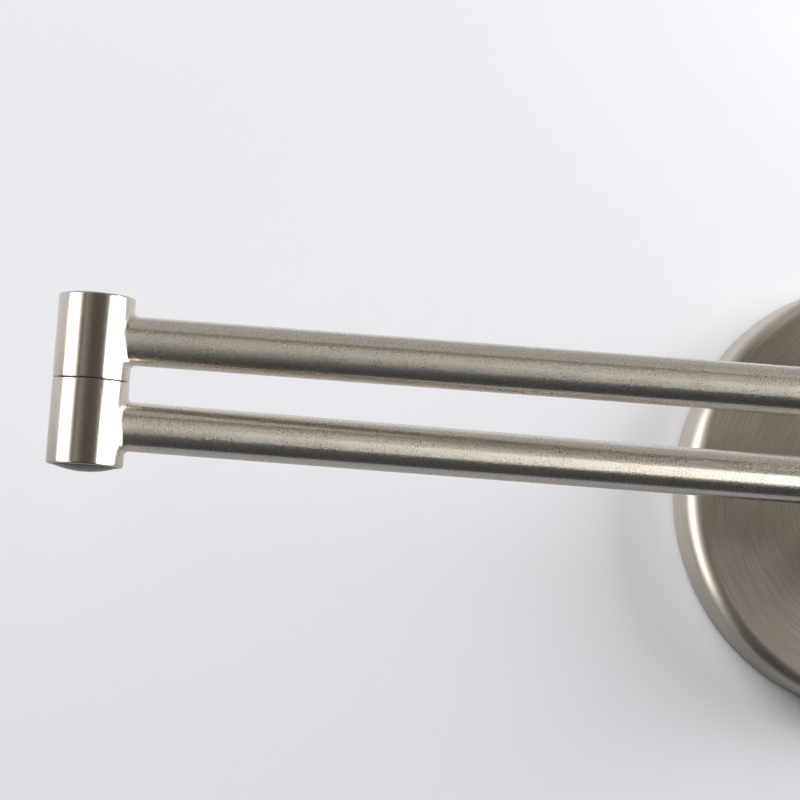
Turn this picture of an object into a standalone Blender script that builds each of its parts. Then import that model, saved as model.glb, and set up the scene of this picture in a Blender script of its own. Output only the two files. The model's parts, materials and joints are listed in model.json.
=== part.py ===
"""Extendable shaving mirror: a round wall plate, two stacked swing arms and a two-sided mirror in a yoke.

Metres, +Z up. The wall is the plane y = 0 and the mirror stands out from it towards -Y. The origin is
the centre of the wall plate, on the wall. The lower arm lies along -X from the wall hinge to the elbow.
The upper arm comes back above it, opened by ARM_OPENING, and carries the mirror's yoke on its end.
"""

import math

import bmesh
import bpy

# Free space left between pieces that touch or turn on each other.
GAP = 0.0003

# Wall plate and what is behind it. Depths are measured out from the wall.
PLATE_R = 0.060
PLATE_DEPTH = 0.015
PLATE_SHEET = 0.0012
PLATE_RIM_R = 0.004
BRACKET_HALF_WIDTH = 0.015
BRACKET_HALF_HEIGHT = 0.054
BRACKET_SHEET = 0.0025
BRACKET_TAB = 0.011
WALL_SCREW_HOLE_R = 0.0027
WALL_SCREW_SPACING = 0.034
BOSS_R = 0.009
BOSS_DEPTH = 0.0118
GRUB_R = 0.0015
GRUB_DEPTH = 0.007
GRUB_LENGTH = 0.009
GRUB_SOCKET_R = 0.0009
GRUB_SOCKET = 0.002
COLLAR_R = 0.013
COLLAR_THICKNESS = 0.002
COLLAR_EDGE = 0.0006
SPIGOT_END = BRACKET_SHEET + 0.003
SPIGOT_R = 0.004
SHANK_R = 0.007

# Arms. The wall hinge's axis stands ARM_STANDOFF from the wall.
ARM_STANDOFF = 0.050
LOWER_ARM = 0.222
UPPER_ARM = 0.236
ARM_OPENING = math.radians(6)
TUBE_R = 0.006
TUBE_WALL = 0.001
BARREL_R = 0.00925
BARREL_HALF = 0.0102
BARREL_EDGE = 0.0005
ARM_RISE = 2 * BARREL_HALF + GAP

# Inside a barrel: the end cap's seat, the counterbore for the fasteners and the bore for the bolt.
CAP_SEAT_R = 0.0085
CAP_SEAT_DEPTH = 0.0025
CAP_SPIGOT = 0.0035
CAP_SPIGOT_WALL = 0.0008
CAP_DOME = 0.0014
TOP_CAP_DOME = 0.0008
COUNTERBORE_R = 0.0072
COUNTERBORE_DEPTH = 0.0102
WASHER_POCKET_R = 0.0075
WASHER_POCKET_DEPTH = 0.00085
SEAM_EDGE = 0.0002

# Fasteners inside the elbow and under the head. Drops are measured down from a barrel's middle.
BOLT_R = 0.003
BOLT_BORE_R = BOLT_R + GAP
BOLT_DROP = 0.0074
BOLT_HEAD_R = 0.005
BOLT_HEAD = 0.005
BOLT_SOCKET_R = 0.0029
FLAT_WASHER_R = 0.006
FLAT_WASHER = 0.001
FRICTION_WASHER_HALF = 0.0007
SPRING_R = 0.0058
SPRING_RISE = 0.0007
SPRING_SHEET = 0.0008
SPRING_DROP = 0.0018
NUT_R = 0.00577
NUT_HEIGHT = 0.0045
NUT_DROP = 0.00435

# Wall hinge.
CLEVIS_SLOT_HALF = 0.0104
CLEVIS_EAR = 0.003
CLEVIS_WEB_FRONT = ARM_STANDOFF - 0.0101
CLEVIS_WEB = 0.0034
WALL_BARREL_HALF = 0.009
BUSH_FLANGE = 0.0008
BUSH_FLANGE_R = 0.0086
BUSH_R = 0.004
BUSH_SLEEVE_END = 0.003
HINGE_BOLT_R = 0.0025
HINGE_BOLT_REACH = 0.0048
HINGE_HEAD_R = 0.0045
HINGE_HEAD = 0.0022
HINGE_SOCKET_R = 0.0017
HINGE_SOCKET = 0.0018
DOME_NUT_R = 0.0046
DOME_NUT_HEIGHT = 0.004
DOME_NUT_BORE = 0.005
DOME_R = 0.0038

# Mirror head. The head is turned by HEAD_TURN about the upper arm's end.
HEAD_TURN = math.radians(32)
MIRROR_HEIGHT = 0.165
RIM_R = 0.091
RIM_WALL = 0.0015
RIM_HALF_DEPTH = 0.008
RIM_LIP = 0.0012
RIM_LIP_R = 0.0855
RIM_ROUND = 0.003
GLASS_R = 0.089
GLASS = 0.0025
MAGNIFIER_SAG = 0.0032
BACKING_R = 0.084
GLASS_EDGE = 0.0005
DISH_SHEET = 0.002
STEM_NECK_R = 0.005
STEM_TOP_R = 0.0068
HEAD_BUSH_LENGTH = 0.009
YOKE_ROD_R = 0.00375
YOKE_R = 0.09725
EYE_R = 0.0065
EYE_HALF = 0.0042
EYE_EDGE = 0.0008
PIVOT_R = 0.0025
PIVOT_BLOCK_R = 0.0037
PIVOT_BLOCK_INSET = 0.0007
KNOB_R = 0.0058
KNOB_LENGTH = 0.0067
KNOB_CROWN = 0.0018
KNOB_GROOVE = 0.0006

# How finely round pieces are divided.
FINE = 64
ROUND = 32
SMALL = 16

NICKEL = ("satin_nickel", (0.62, 0.60, 0.57), 0.34, 1.0)
STEEL = ("zinc_steel", (0.55, 0.56, 0.58), 0.40, 1.0)
BLACK = ("black_plastic", (0.012, 0.012, 0.013), 0.28, 0.0)
NYLON = ("nylon", (0.75, 0.74, 0.70), 0.50, 0.0)
MIRROR = ("mirror_glass", (0.88, 0.90, 0.90), 0.02, 1.0)
BOARD = ("backing_board", (0.30, 0.29, 0.27), 0.85, 0.0)

TOWARDS_ROOM = (math.pi / 2, 0, 0)
TOWARDS_RIGHT = (0, math.pi / 2, 0)
TOWARDS_LEFT = (0, -math.pi / 2, 0)
UPSIDE_DOWN = (math.pi, 0, 0)


def clear_scene():
    for thing in list(bpy.data.objects):
        bpy.data.objects.remove(thing)


def new_collection(name):
    collection = bpy.data.collections.new(name)
    bpy.context.scene.collection.children.link(collection)
    return collection


def finish_material(finish):
    """The finish's Principled material, made once."""
    name, colour, roughness, metallic = finish
    if name in bpy.data.materials:
        return bpy.data.materials[name]
    material = bpy.data.materials.new(name)
    material.use_nodes = True
    shader = material.node_tree.nodes["Principled BSDF"]
    shader.inputs["Base Color"].default_value = (*colour, 1)
    shader.inputs["Roughness"].default_value = roughness
    shader.inputs["Metallic"].default_value = metallic
    return material


def axis_empty(name, parent, at, turn=0.0):
    """An empty on a joint's axis, turned about Z."""
    empty = bpy.data.objects.new(name, None)
    parts.objects.link(empty)
    empty.parent = parent
    empty.location = at
    empty.rotation_euler = (0, 0, turn)
    return empty


def place(name, mesh, finish, parent, at=(0, 0, 0), turn=(0, 0, 0)):
    """A mesh as a named part, or as a cutter when it has no finish."""
    thing = bpy.data.objects.new(name, mesh)
    if finish:
        parts.objects.link(thing)
        mesh.materials.append(finish_material(finish))
    else:
        cutters.objects.link(thing)
        thing.hide_render = True
        thing.display_type = "WIRE"
    thing.parent = parent
    thing.location = at
    thing.rotation_euler = turn
    return thing


def turned(name, outline, finish, parent, at=(0, 0, 0), turn=(0, 0, 0), steps=ROUND):
    """A solid turned about its Z axis. The outline is (radius, height) points, down the outer side first.
    It closes on itself, unless it starts and ends on the axis."""
    mesh = bpy.data.meshes.new(name)
    count = len(outline)
    edges = [(i, i + 1) for i in range(count - 1)]
    if outline[0][0] > 0:
        edges.append((count - 1, 0))
    mesh.from_pydata([(radius, 0, height) for radius, height in outline], edges, [])
    part = place(name, mesh, finish, parent, at, turn)
    screw = part.modifiers.new("turn", "SCREW")
    screw.steps = steps
    screw.render_steps = steps
    screw.use_merge_vertices = True
    screw.merge_threshold = 0.00001
    screw.use_smooth_shade = True
    return part


def prism(name, radius, depth, finish, parent, at=(0, 0, 0), turn=(0, 0, 0), sides=6):
    """An upright prism centred on its origin, by the radius of its corners."""
    mesh = bpy.data.meshes.new(name)
    bm = bmesh.new()
    bmesh.ops.create_cone(
        bm, cap_ends=True, segments=sides, radius1=radius, radius2=radius, depth=depth
    )
    bm.to_mesh(mesh)
    bm.free()
    return place(name, mesh, finish, parent, at, turn)


def box(name, size, parent, at=(0, 0, 0)):
    """A box cutter centred on its origin."""
    mesh = bpy.data.meshes.new(name)
    bm = bmesh.new()
    bmesh.ops.create_cube(bm, size=1)
    bmesh.ops.scale(bm, vec=size, verts=bm.verts)
    bm.to_mesh(mesh)
    bm.free()
    return place(name, mesh, None, parent, at)


def curve_part(name, curve, finish, parent, at=(0, 0, 0), turn=(0, 0, 0)):
    """A curve made a closed mesh, so that Booleans can cut or join it."""
    guide = bpy.data.objects.new(name + "_guide", curve)
    parts.objects.link(guide)
    evaluated = guide.evaluated_get(bpy.context.evaluated_depsgraph_get())
    mesh = bpy.data.meshes.new_from_object(evaluated)
    bpy.data.objects.remove(guide)
    bm = bmesh.new()
    bm.from_mesh(mesh)
    bmesh.ops.remove_doubles(bm, verts=bm.verts, dist=0.000001)
    bm.to_mesh(mesh)
    bm.free()
    mesh.name = name
    return place(name, mesh, finish, parent, at, turn)


def poly_curve(name, points, flat):
    """A straight-sided spline through the points: a closed flat outline, or an open path in space."""
    curve = bpy.data.curves.new(name, "CURVE")
    curve.dimensions = "2D" if flat else "3D"
    spline = curve.splines.new("POLY")
    spline.points.add(len(points) - 1)
    for point, place_at in zip(spline.points, points):
        point.co = (*place_at, 1)
    spline.use_cyclic_u = flat
    return curve


def extruded(name, points, half_thickness, finish, parent, at=(0, 0, 0), turn=(0, 0, 0)):
    """A flat outline in XY, thickened both ways along Z."""
    curve = poly_curve(name, [(x, y, 0) for x, y in points], flat=True)
    curve.fill_mode = "BOTH"
    curve.extrude = half_thickness
    return curve_part(name, curve, finish, parent, at, turn)


def boolean(part, other, operation="DIFFERENCE"):
    modifier = part.modifiers.new(other.name, "BOOLEAN")
    modifier.operation = operation
    modifier.solver = "EXACT"
    modifier.object = other


def arc(centre, radius, start, end, count):
    """Points on an arc in degrees, both ends included."""
    points = []
    for i in range(count + 1):
        angle = math.radians(start + (end - start) * i / count)
        points.append((centre[0] + radius * math.cos(angle), centre[1] + radius * math.sin(angle)))
    return points


def rod_outline(radius, low, high):
    """The outline of a solid rod between two heights."""
    return [(0, high), (radius, high), (radius, low), (0, low)]


def ring_outline(outer, inner, low, high):
    """The outline of a plain ring between two heights."""
    return [(inner, high), (outer, high), (outer, low), (inner, low)]


# ---------------------------------------------------------------- wall plate


def wall_plate_cover(wall):
    """A pressed pan with a rounded rim, over the bracket, with a hole for the hinge's spigot."""
    hole = SPIGOT_R + GAP
    shoulder = (PLATE_R - PLATE_RIM_R, PLATE_DEPTH - PLATE_RIM_R)
    outer = arc(shoulder, PLATE_RIM_R, 90, 0, 5)
    inner = arc(shoulder, PLATE_RIM_R - PLATE_SHEET, 0, 90, 4)
    outline = [(hole, PLATE_DEPTH)]
    outline += outer
    outline += [(PLATE_R, GAP), (PLATE_R - PLATE_SHEET, GAP)]
    outline += inner
    outline += [(hole, PLATE_DEPTH - PLATE_SHEET)]
    cover = turned("wall_plate_cover", outline, NICKEL, wall, turn=TOWARDS_ROOM, steps=FINE)
    hole_at = (0, -GRUB_DEPTH, -PLATE_R)
    boolean(cover, prism("grub_hole_cutter", GRUB_R + GAP, 0.006, None, wall, hole_at, sides=SMALL))


def mounting_bracket(wall):
    """A strap flat on the wall, with a tab bent forward at each end and a threaded boss in the middle."""
    high = BRACKET_HALF_HEIGHT
    inside = high - BRACKET_SHEET
    outline = [
        (0, -high),
        (0, high),
        (-BRACKET_TAB, high),
        (-BRACKET_TAB, inside),
        (-BRACKET_SHEET, inside),
        (-BRACKET_SHEET, -inside),
        (-BRACKET_TAB, -inside),
        (-BRACKET_TAB, -high),
    ]
    upright = (math.pi / 2, 0, math.pi / 2)
    bracket = extruded("mounting_bracket", outline, BRACKET_HALF_WIDTH, STEEL, wall, turn=upright)
    boss = rod_outline(BOSS_R, BRACKET_SHEET / 2, BOSS_DEPTH)
    boolean(bracket, turned("boss_joiner", boss, None, wall, turn=TOWARDS_ROOM, steps=SMALL), "UNION")
    bore = rod_outline(SPIGOT_R + GAP, SPIGOT_END - 0.001, PLATE_DEPTH)
    boolean(bracket, turned("boss_cutter", bore, None, wall, turn=TOWARDS_ROOM, steps=SMALL))
    for side in (-1, 1):
        hole_at = (0, 0, side * WALL_SCREW_SPACING)
        name = "wall_screw_cutter" + ("_top" if side > 0 else "_bottom")
        hole = prism(name, WALL_SCREW_HOLE_R, 0.012, None, wall, hole_at, TOWARDS_ROOM, SMALL)
        boolean(bracket, hole)
    tab_at = (0, -GRUB_DEPTH, -high)
    boolean(bracket, prism("tab_cutter", GRUB_R + GAP, 0.012, None, wall, tab_at, sides=SMALL))


def cover_grub_screw(wall):
    """The headless screw that locks the cover to the bracket's lower tab, reached from below."""
    low = -PLATE_R + GAP
    outline = rod_outline(GRUB_R, low, low + GRUB_LENGTH)
    screw = turned("cover_grub_screw", outline, STEEL, wall, (0, -GRUB_DEPTH, 0), steps=SMALL)
    socket_at = (0, -GRUB_DEPTH, low)
    socket = prism("grub_socket_cutter", GRUB_SOCKET_R, 2 * GRUB_SOCKET, None, wall, socket_at)
    boolean(screw, socket)


def post_collar(wall):
    """The ring between the cover and the hinge's shank."""
    low = PLATE_DEPTH + GAP
    high = low + COLLAR_THICKNESS
    outline = [
        (SPIGOT_R + GAP, high),
        (COLLAR_R - COLLAR_EDGE, high),
        (COLLAR_R, high - COLLAR_EDGE),
        (COLLAR_R, low),
        (SPIGOT_R + GAP, low),
    ]
    turned("post_collar", outline, NICKEL, wall, turn=TOWARDS_ROOM)


# ---------------------------------------------------------------- wall hinge


def wall_clevis(wall):
    """The fork that holds the lower arm, with a round shank and a spigot that screws into the bracket."""
    back = ARM_STANDOFF - CLEVIS_WEB_FRONT + CLEVIS_WEB
    outline = arc((0, 0), BARREL_R, 180, 360, 16)
    outline += [(BARREL_R, back), (-BARREL_R, back)]
    axis_at = (0, -ARM_STANDOFF, 0)
    height = CLEVIS_SLOT_HALF + CLEVIS_EAR
    clevis = extruded("wall_clevis", outline, height, NICKEL, wall, axis_at)
    slot_length = 0.030
    slot_at = (0, -CLEVIS_WEB_FRONT - slot_length / 2, 0)
    slot = box("clevis_slot_cutter", (0.030, slot_length, 2 * CLEVIS_SLOT_HALF), wall, slot_at)
    boolean(clevis, slot)
    shoulder = PLATE_DEPTH + COLLAR_THICKNESS + 2 * GAP
    shank = [
        (0, CLEVIS_WEB_FRONT - CLEVIS_WEB / 2),
        (SHANK_R, CLEVIS_WEB_FRONT - CLEVIS_WEB / 2),
        (SHANK_R, shoulder),
        (SPIGOT_R, shoulder),
        (SPIGOT_R, SPIGOT_END),
        (0, SPIGOT_END),
    ]
    boolean(clevis, turned("shank_joiner", shank, None, wall, turn=TOWARDS_ROOM, steps=24), "UNION")
    top = height + 0.002
    cone = HINGE_HEAD_R - HINGE_BOLT_R
    bore = [
        (0, top),
        (HINGE_HEAD_R + GAP, top),
        (HINGE_HEAD_R + GAP, height),
        (HINGE_HEAD_R + GAP - cone, height - HINGE_HEAD),
        (HINGE_HEAD_R + GAP - cone, -top),
        (0, -top),
    ]
    boolean(clevis, turned("hinge_bore_cutter", bore, None, wall, axis_at, steps=SMALL))


def wall_hinge_bolt(wall):
    """A countersunk bolt, flush with the clevis's upper ear."""
    top = CLEVIS_SLOT_HALF + CLEVIS_EAR
    outline = [
        (0, top),
        (HINGE_HEAD_R, top),
        (HINGE_BOLT_R, top - HINGE_HEAD),
        (HINGE_BOLT_R, -top - HINGE_BOLT_REACH),
        (0, -top - HINGE_BOLT_REACH),
    ]
    axis_at = (0, -ARM_STANDOFF, 0)
    bolt = turned("wall_hinge_bolt", outline, STEEL, wall, axis_at, steps=SMALL)
    socket_at = (0, -ARM_STANDOFF, top)
    socket = prism("hinge_socket_cutter", HINGE_SOCKET_R, 2 * HINGE_SOCKET, None, wall, socket_at)
    boolean(bolt, socket)


def wall_hinge_nut(wall):
    """The domed nut under the clevis's lower ear."""
    top = -CLEVIS_SLOT_HALF - CLEVIS_EAR - GAP
    centre = (0, -ARM_STANDOFF, top - DOME_NUT_HEIGHT / 2)
    nut = prism("wall_hinge_nut", DOME_NUT_R, DOME_NUT_HEIGHT, STEEL, wall, centre)
    dome_top = top - DOME_NUT_HEIGHT + 0.001
    dome = [(0, dome_top)] + arc((0, dome_top), DOME_R, 0, -90, 5)
    dome[-1] = (0, dome[-1][1])
    axis_at = (0, -ARM_STANDOFF, 0)
    boolean(nut, turned("nut_dome_joiner", dome, None, wall, axis_at, steps=SMALL), "UNION")
    bore = rod_outline(HINGE_BOLT_R + GAP, top - DOME_NUT_BORE, top + 0.001)
    boolean(nut, turned("nut_bore_cutter", bore, None, wall, axis_at, steps=SMALL))


def bush_outline(bore, flange_low, sleeve_end):
    """The outline of a flanged bush: a flange on top of a sleeve."""
    return [
        (bore, flange_low + BUSH_FLANGE),
        (BUSH_FLANGE_R, flange_low + BUSH_FLANGE),
        (BUSH_FLANGE_R, flange_low),
        (BUSH_R, flange_low),
        (BUSH_R, sleeve_end),
        (bore, sleeve_end),
    ]


def wall_hinge_bushes(axis):
    """Two flanged bushes in the ends of the lower arm's wall barrel."""
    outline = bush_outline(HINGE_BOLT_R + GAP, WALL_BARREL_HALF + GAP, BUSH_SLEEVE_END)
    for name, turn in (("upper", (0, 0, 0)), ("lower", UPSIDE_DOWN)):
        turned("wall_hinge_bush_" + name, outline, NYLON, axis, turn=turn, steps=24)


# ---------------------------------------------------------------- arms


def barrel_bottom(bore):
    """The lower end of a capped barrel, from its outer side round to the bore."""
    low = -BARREL_HALF
    return [
        (BARREL_R, low + BARREL_EDGE),
        (BARREL_R - 0.3 * BARREL_EDGE, low + 0.3 * BARREL_EDGE),
        (BARREL_R - BARREL_EDGE, low),
        (CAP_SEAT_R, low),
        (CAP_SEAT_R, low + CAP_SEAT_DEPTH),
        (COUNTERBORE_R, low + CAP_SEAT_DEPTH),
        (COUNTERBORE_R, low + COUNTERBORE_DEPTH),
        (bore, low + COUNTERBORE_DEPTH),
    ]


def elbow_barrel(name, parent, at, turn=(0, 0, 0)):
    """One half of the elbow, open for its cap at the bottom, with a pocket for the friction washer on top."""
    top = BARREL_HALF
    floor = top - WASHER_POCKET_DEPTH
    outline = [
        (BOLT_BORE_R, floor),
        (WASHER_POCKET_R, floor),
        (WASHER_POCKET_R, top),
        (BARREL_R - SEAM_EDGE, top),
        (BARREL_R, top - SEAM_EDGE),
    ]
    outline += barrel_bottom(BOLT_BORE_R)
    turned(name, outline, NICKEL, parent, at, turn)


def arm_tube(name, parent, length, rise, turn):
    """A tube between two barrels, coped to their round sides."""
    inside = BARREL_R / 2
    outline = ring_outline(TUBE_R, TUBE_R - TUBE_WALL, inside, length - inside)
    tube = turned(name, outline, NICKEL, parent, (0, 0, rise), turn, steps=ROUND)
    sign = 1 if turn == TOWARDS_RIGHT else -1
    for end, distance in (("near", 0), ("far", sign * length)):
        cope_at = (distance, 0, rise)
        cope = prism(f"{name}_{end}_cutter", BARREL_R + GAP, 0.030, None, parent, cope_at, sides=ROUND)
        boolean(tube, cope)


def end_cap(name, parent, at, turn=(0, 0, 0), dome_height=CAP_DOME):
    """A domed plug that sits just inside a barrel's rim, at the lower end."""
    seat = -BARREL_HALF + CAP_SEAT_DEPTH - GAP
    edge_r = CAP_SEAT_R - GAP
    low = -BARREL_HALF - dome_height
    rise = dome_height + GAP
    dome_r = (edge_r**2 + rise**2) / (2 * rise)
    half_angle = math.degrees(math.asin(edge_r / dome_r))
    dome = arc((0, low + dome_r), dome_r, -90 + half_angle, -90, 4)
    dome[-1] = (0, low)
    spigot_r = COUNTERBORE_R - GAP
    spigot_inner = spigot_r - CAP_SPIGOT_WALL
    spigot_top = seat + CAP_SPIGOT
    outline = [
        (0, seat),
        (spigot_inner, seat),
        (spigot_inner, spigot_top),
        (spigot_r, spigot_top),
        (spigot_r, seat),
        (edge_r, seat),
    ]
    outline += dome
    turned(name, outline, BLACK, parent, at, turn, steps=24)


def hex_nut(name, parent, at):
    """A plain nut in a barrel's counterbore."""
    nut = prism(name, NUT_R, NUT_HEIGHT, STEEL, parent, at)
    cutter = prism(name + "_bore_cutter", BOLT_BORE_R, 2 * NUT_HEIGHT, None, parent, at, sides=SMALL)
    boolean(nut, cutter)


def spring_washer(name, parent, at):
    """A conical disc spring that sets the joint's friction."""
    outline = [
        (BOLT_BORE_R, SPRING_RISE + SPRING_SHEET),
        (SPRING_R, SPRING_SHEET),
        (SPRING_R, 0),
        (BOLT_BORE_R, SPRING_RISE),
    ]
    turned(name, outline, STEEL, parent, at, steps=SMALL)


def elbow_fasteners(axis):
    """What holds the elbow's two barrels together: bolt, washers and nut, hidden by the caps."""
    washer_low = ARM_RISE + BARREL_HALF - COUNTERBORE_DEPTH + GAP
    washer = ring_outline(FLAT_WASHER_R, BOLT_BORE_R, washer_low, washer_low + FLAT_WASHER)
    turned("elbow_flat_washer", washer, STEEL, axis, steps=SMALL)
    head_low = washer_low + FLAT_WASHER + GAP
    head_high = head_low + BOLT_HEAD
    outline = [
        (0, head_high),
        (BOLT_HEAD_R, head_high),
        (BOLT_HEAD_R, head_low),
        (BOLT_R, head_low),
        (BOLT_R, -BOLT_DROP),
        (0, -BOLT_DROP),
    ]
    bolt = turned("elbow_bolt", outline, STEEL, axis, steps=SMALL)
    socket_at = (0, 0, head_high)
    boolean(bolt, prism("elbow_socket_cutter", BOLT_SOCKET_R, BOLT_HEAD, None, axis, socket_at))
    seam = BARREL_HALF + GAP / 2
    low = seam - FRICTION_WASHER_HALF
    high = seam + FRICTION_WASHER_HALF
    friction = ring_outline(WASHER_POCKET_R - GAP, BOLT_BORE_R, low, high)
    turned("elbow_friction_washer", friction, BLACK, axis, steps=24)
    spring_washer("elbow_spring_washer", axis, (0, 0, -SPRING_DROP))
    hex_nut("elbow_nut", axis, (0, 0, -NUT_DROP))


def lower_arm(axis):
    """The arm on the wall hinge: wall barrel, tube and the elbow's lower barrel."""
    bore = BUSH_R + GAP
    edge = BARREL_EDGE
    half = WALL_BARREL_HALF
    outline = [
        (bore, half),
        (BARREL_R - edge, half),
        (BARREL_R, half - edge),
        (BARREL_R, edge - half),
        (BARREL_R - edge, -half),
        (bore, -half),
    ]
    turned("lower_arm_wall_barrel", outline, NICKEL, axis)
    arm_tube("lower_arm_tube", axis, LOWER_ARM, 0, TOWARDS_LEFT)


def upper_arm(axis):
    """The arm above: the elbow's upper barrel, tube and head barrel."""
    elbow_barrel("upper_arm_elbow_barrel", axis, (0, 0, ARM_RISE), UPSIDE_DOWN)
    arm_tube("upper_arm_tube", axis, UPPER_ARM, ARM_RISE, TOWARDS_RIGHT)
    bore = BUSH_R + GAP
    top = BARREL_HALF
    outline = [
        (bore, top),
        (BARREL_R - BARREL_EDGE, top),
        (BARREL_R, top - BARREL_EDGE),
    ]
    outline += barrel_bottom(bore)
    turned("upper_arm_head_barrel", outline, NICKEL, axis, (UPPER_ARM, 0, ARM_RISE))


# ---------------------------------------------------------------- head


def head_bush(axis):
    """The flanged bush on top of the head barrel."""
    flange_low = ARM_RISE + BARREL_HALF + GAP
    outline = bush_outline(BOLT_BORE_R, flange_low, flange_low - HEAD_BUSH_LENGTH)
    turned("head_bush", outline, NYLON, axis, (UPPER_ARM, 0, 0), steps=24)


def swivel_stem(axis):
    """The stem under the yoke, with the spindle that turns in the head barrel."""
    low = ARM_RISE + BARREL_HALF + BUSH_FLANGE + 2 * GAP
    top = MIRROR_HEIGHT - YOKE_R - YOKE_ROD_R - GAP
    foot_top = low + 0.0032
    end = ARM_RISE - BOLT_DROP
    outline = [
        (0, top),
        (STEM_TOP_R - 0.0004, top),
        (STEM_TOP_R, top - 0.0006),
        (STEM_TOP_R, top - 0.003),
        (STEM_NECK_R + 0.0008, top - 0.0052),
        (STEM_NECK_R, top - 0.0085),
        (STEM_NECK_R, low + 0.0095),
        (STEM_NECK_R + 0.0012, low + 0.006),
        (BARREL_R - 0.00045, foot_top + 0.0006),
        (BARREL_R, foot_top),
        (BARREL_R, low + BARREL_EDGE),
        (BARREL_R - BARREL_EDGE, low),
        (BOLT_R, low),
        (BOLT_R, end),
        (0, end),
    ]
    turned("swivel_stem", outline, NICKEL, axis, steps=24)
    spring_washer("swivel_spring_washer", axis, (0, 0, ARM_RISE - SPRING_DROP))
    hex_nut("swivel_nut", axis, (0, 0, ARM_RISE - NUT_DROP))


def yoke(axis, flip):
    """A round rod bent to a half circle under the mirror, with an eye at each end for the pivots."""
    count = 32
    route = [(x, 0, z) for x, z in arc((0, MIRROR_HEIGHT), YOKE_R, 180, 360, count)]
    curve = poly_curve("yoke", route, flat=False)
    curve.bevel_depth = YOKE_ROD_R
    curve.bevel_resolution = 3
    curve.use_fill_caps = True
    rod = curve_part("yoke", curve, NICKEL, axis)
    for side, turn in (("left", TOWARDS_LEFT), ("right", TOWARDS_RIGHT)):
        inner = YOKE_R - EYE_HALF
        outer = YOKE_R + EYE_HALF
        eye = [
            (0, outer),
            (EYE_R - EYE_EDGE, outer),
            (EYE_R, outer - EYE_EDGE),
            (EYE_R, inner + EYE_EDGE),
            (EYE_R - EYE_EDGE, inner),
            (0, inner),
        ]
        boolean(rod, turned(f"eye_{side}_joiner", eye, None, flip, turn=turn, steps=24), "UNION")
        hole = rod_outline(PIVOT_R + GAP, inner - 0.002, outer + 0.002)
        boolean(rod, turned(f"eye_{side}_cutter", hole, None, flip, turn=turn, steps=SMALL))
        washer = ring_outline(EYE_R - 0.0005, PIVOT_R + GAP, RIM_R + GAP, inner - GAP)
        turned(f"pivot_washer_{side}", washer, NYLON, flip, turn=turn, steps=SMALL)


def mirror_rim(flip):
    """The deep round frame, rolled in at both faces, drilled for the pivots."""
    centre_r = RIM_R - RIM_ROUND
    centre_h = RIM_HALF_DEPTH - RIM_ROUND
    wall_r = RIM_R - RIM_WALL
    inside = RIM_HALF_DEPTH - RIM_LIP
    outline = [(RIM_LIP_R, RIM_HALF_DEPTH)]
    outline += arc((centre_r, centre_h), RIM_ROUND, 90, 0, 4)
    outline += arc((centre_r, -centre_h), RIM_ROUND, 0, -90, 4)
    outline += [(RIM_LIP_R, -RIM_HALF_DEPTH), (RIM_LIP_R, -inside), (wall_r, -inside)]
    outline += [(wall_r, inside), (RIM_LIP_R, inside)]
    rim = turned("mirror_rim", outline, NICKEL, flip, turn=TOWARDS_ROOM, steps=FINE)
    for side, turn in (("left", TOWARDS_LEFT), ("right", TOWARDS_RIGHT)):
        hole = rod_outline(PIVOT_R + GAP, wall_r - 0.002, RIM_R + 0.002)
        boolean(rim, turned(f"rim_{side}_cutter", hole, None, flip, turn=turn, steps=SMALL))


def mirror_glasses(flip):
    """The flat glass in front, the dished magnifying glass behind and the board that keeps them apart."""
    face = RIM_HALF_DEPTH - RIM_LIP - GAP
    flat = [
        (0, face),
        (GLASS_R - GLASS_EDGE, face),
        (GLASS_R, face - GLASS_EDGE),
        (GLASS_R, face - GLASS),
        (0, face - GLASS),
    ]
    turned("front_glass", flat, MIRROR, flip, turn=TOWARDS_ROOM, steps=FINE)
    dish_r = (GLASS_R**2 + MAGNIFIER_SAG**2) / (2 * MAGNIFIER_SAG)
    half_angle = math.degrees(math.asin(GLASS_R / dish_r))
    centre = (0, -face + MAGNIFIER_SAG - dish_r)
    inner_side = arc(centre, dish_r + DISH_SHEET, 90, 90 - half_angle, 5)
    outer_side = arc(centre, dish_r, 90 - half_angle, 90, 5)
    inner_side[0] = (0, inner_side[0][1])
    outer_side[-1] = (0, outer_side[-1][1])
    dish = inner_side[:-1] + [(GLASS_R, -face + DISH_SHEET)] + outer_side
    turned("magnifying_glass", dish, MIRROR, flip, turn=TOWARDS_ROOM, steps=FINE)
    board_top = face - GLASS - GAP
    board_low = -face + MAGNIFIER_SAG + DISH_SHEET + GAP
    board = rod_outline(BACKING_R, board_low, board_top)
    turned("backing_board", board, BOARD, flip, turn=TOWARDS_ROOM, steps=ROUND)


def mirror_pivots(flip):
    """A threaded block inside the rim and a knob with its stud, at each end of the flip axis."""
    block_inner = BACKING_R + GAP + PIVOT_BLOCK_INSET
    block_outer = RIM_R - RIM_WALL - GAP - 0.0005
    middle = (block_inner + block_outer) / 2
    depth = block_outer - block_inner
    knob = knob_outline(YOKE_R + EYE_HALF + GAP, block_inner + 0.001)
    hole = rod_outline(PIVOT_R + GAP, block_inner - 0.002, block_outer + 0.002)
    for side, sign, turn in (("left", -1, TOWARDS_LEFT), ("right", 1, TOWARDS_RIGHT)):
        block_at = (sign * middle, 0, 0)
        block = prism(f"pivot_block_{side}", PIVOT_BLOCK_R, depth, STEEL, flip, block_at, turn, 8)
        boolean(block, turned(f"block_{side}_cutter", hole, None, flip, turn=turn, steps=SMALL))
        turned(f"pivot_knob_{side}", knob, NICKEL, flip, turn=turn, steps=24)


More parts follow.
